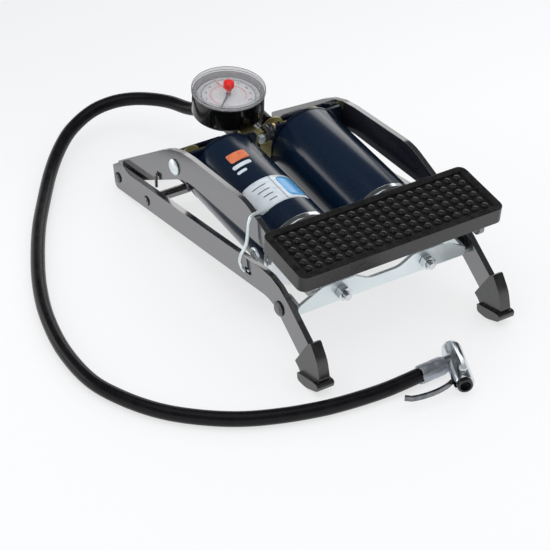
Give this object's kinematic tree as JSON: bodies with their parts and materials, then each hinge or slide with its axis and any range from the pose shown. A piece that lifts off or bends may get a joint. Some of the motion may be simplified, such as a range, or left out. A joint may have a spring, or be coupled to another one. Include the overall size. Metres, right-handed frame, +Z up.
{
  "type": "foot air pump",
  "caption": "Foot air pump, folded and latched: twin barrels between two arms under a studded pedal, dial gauge, hose and lever chuck.",
  "frame": {"origin": "on the floor, under the middle of the pump without its hose", "axes": "+X to the right seen from the pedal, -Y towards the pedal, +Z up"},
  "size_m": [0.304, 0.4358, 0.1057],
  "materials": {
    "base_bar_left": "gloss black paint on pressed steel",
    "base_bar_right": "gloss black paint on pressed steel",
    "foot_left": "moulded black plastic",
    "foot_right": "moulded black plastic",
    "rear_axle": "blackened steel",
    "base_cross_rod": "gloss black paint on pressed steel",
    "leg_rivet_left": "blackened steel",
    "leg_rivet_right": "blackened steel",
    "crossbar_spacer_left": "black plastic",
    "crossbar_spacer_right": "black plastic",
    "hook_eye": "bright zinc plate",
    "hose": "black rubber",
    "chuck_body": "chromed zinc casting",
    "chuck_seal": "black rubber",
    "chuck_pin": "bright zinc plate",
    "pedal_arm_left": "gloss black paint on pressed steel",
    "pedal_arm_right": "gloss black paint on pressed steel",
    "pedal_plate": "gloss black paint on pressed steel",
    "pedal_pad": "black rubber",
    "pedal_screw_1": "bright zinc plate",
    "pedal_screw_2": "bright zinc plate",
    "pedal_screw_3": "bright zinc plate",
    "pedal_screw_4": "bright zinc plate",
    "barrel_pivot_shaft": "bright zinc plate",
    "return_spring_left": "blackened steel",
    "return_spring_right": "blackened steel",
    "pivot_spring": "blackened steel",
    "hose_union": "machined brass",
    "barrel_left": "gloss navy paint on steel",
    "barrel_right": "gloss navy paint on steel",
    "barrel_head_left": "turned aluminium",
    "barrel_head_right": "turned aluminium",
    "front_cap_left": "chromed zinc casting",
    "front_cap_right": "chromed zinc casting",
    "barrel_bracket": "gloss navy paint on steel",
    "valve_plate": "yellow zinc plate",
    "valve_block": "die-cast, yellow passivated",
    "check_valve_left": "machined brass",
    "check_valve_right": "machined brass",
    "transfer_pipe": "machined brass",
    "bracket_bolt": "bright zinc plate",
    "gauge_stem": "bright zinc plate",
    "gauge_case": "moulded black plastic",
    "gauge_dial": "printed white dial",
    "gauge_lens": "clear plastic",
    "gauge_movement": "machined brass",
    "bourdon_tube": "machined brass",
    "piston_crossbar": "bright zinc plate",
    "piston_rod_left": "chromed",
    "piston_rod_right": "chromed",
    "piston_left": "black plastic",
    "piston_right": "black plastic",
    "piston_seal_left": "black rubber",
    "piston_seal_right": "black rubber",
    "rod_nut_left": "bright zinc plate",
    "rod_nut_right": "bright zinc plate",
    "lock_hook": "bright zinc plate",
    "gauge_needle": "blackened steel",
    "gauge_marker_knob": "red plastic",
    "chuck_lever": "bright zinc plate"
  },
  "bodies": {
    "base_frame": {"base_bar_left": "base_bar_left", "base_bar_right": "base_bar_right", "foot_left": "foot_left", "foot_right": "foot_right", "rear_axle": "rear_axle", "base_cross_rod": "base_cross_rod", "leg_rivet_left": "leg_rivet_left", "leg_rivet_right": "leg_rivet_right", "crossbar_spacer_left": "crossbar_spacer_left", "crossbar_spacer_right": "crossbar_spacer_right", "hook_eye": "hook_eye", "hose": "hose", "chuck_body": "chuck_body", "chuck_seal": "chuck_seal", "chuck_pin": "chuck_pin"},
    "pedal_frame": {"pedal_arm_left": "pedal_arm_left", "pedal_arm_right": "pedal_arm_right", "pedal_plate": "pedal_plate", "pedal_pad": "pedal_pad", "pedal_screw_1": "pedal_screw_1", "pedal_screw_2": "pedal_screw_2", "pedal_screw_3": "pedal_screw_3", "pedal_screw_4": "pedal_screw_4", "barrel_pivot_shaft": "barrel_pivot_shaft", "return_spring_left": "return_spring_left", "return_spring_right": "return_spring_right", "pivot_spring": "pivot_spring", "hose_union": "hose_union"},
    "barrels": {"barrel_left": "barrel_left", "barrel_right": "barrel_right", "barrel_head_left": "barrel_head_left", "barrel_head_right": "barrel_head_right", "front_cap_left": "front_cap_left", "front_cap_right": "front_cap_right", "barrel_bracket": "barrel_bracket", "valve_plate": "valve_plate", "valve_block": "valve_block", "check_valve_left": "check_valve_left", "check_valve_right": "check_valve_right", "transfer_pipe": "transfer_pipe", "bracket_bolt": "bracket_bolt", "gauge_stem": "gauge_stem", "gauge_case": "gauge_case", "gauge_dial": "gauge_dial", "gauge_lens": "gauge_lens", "gauge_movement": "gauge_movement", "bourdon_tube": "bourdon_tube"},
    "pistons": {"piston_crossbar": "piston_crossbar", "piston_rod_left": "piston_rod_left", "piston_rod_right": "piston_rod_right", "piston_left": "piston_left", "piston_right": "piston_right", "piston_seal_left": "piston_seal_left", "piston_seal_right": "piston_seal_right", "rod_nut_left": "rod_nut_left", "rod_nut_right": "rod_nut_right"},
    "lock_hook": {"lock_hook": "lock_hook"},
    "gauge_needle": {"gauge_needle": "gauge_needle"},
    "gauge_marker": {"gauge_marker_knob": "gauge_marker_knob"},
    "chuck_lever": {"chuck_lever": "chuck_lever"}
  },
  "joints": [
    {"name": "pedal_lift", "type": "hinge", "parent": "base_frame", "child": "pedal_frame", "pos_m": [0, 0.1455, 0.0106], "axis": [-1, 0, 0], "range_deg": [0, 40], "deforming": ["hose", "return_spring_left", "return_spring_right"]},
    {"name": "barrel_swing", "type": "hinge", "parent": "pedal_frame", "child": "barrels", "pos_m": [0, 0.0642, 0.0649], "axis": [1, 0, 0], "range_deg": [0, 49.5], "deforming": ["pivot_spring"]},
    {"name": "piston_stroke", "type": "slide", "parent": "barrels", "child": "pistons", "axis": [0, -0.9981, -0.061], "range_m": [0, 0.062]},
    {"name": "hook_swing", "type": "hinge", "parent": "pedal_frame", "child": "lock_hook", "pos_m": [-0.068, -0.0505, 0.0905], "axis": [1, 0, 0], "range_deg": [0, 60]},
    {"name": "needle_turn", "type": "hinge", "parent": "barrels", "child": "gauge_needle", "pos_m": [-0.0101, 0.09345, 0.07641], "axis": [0, 0.061, -0.9981], "range_deg": [0, 270]},
    {"name": "marker_turn", "type": "hinge", "parent": "barrels", "child": "gauge_marker", "pos_m": [-0.0101, 0.09345, 0.07641], "axis": [0, -0.061, 0.9981], "range_deg": [-130, 130]},
    {"name": "lever_flip", "type": "hinge", "parent": "base_frame", "child": "chuck_lever", "pos_m": [0.01008, -0.19352, 0.0078], "axis": [0, 0, 1], "range_deg": [-8, 14]}
  ],
  "couplings": [
    {"joint": "barrel_swing", "follows": "pedal_lift", "ratio": 1.2348},
    {"joint": "piston_stroke", "follows": "pedal_lift", "m_per_rad": 0.088527}
  ]
}
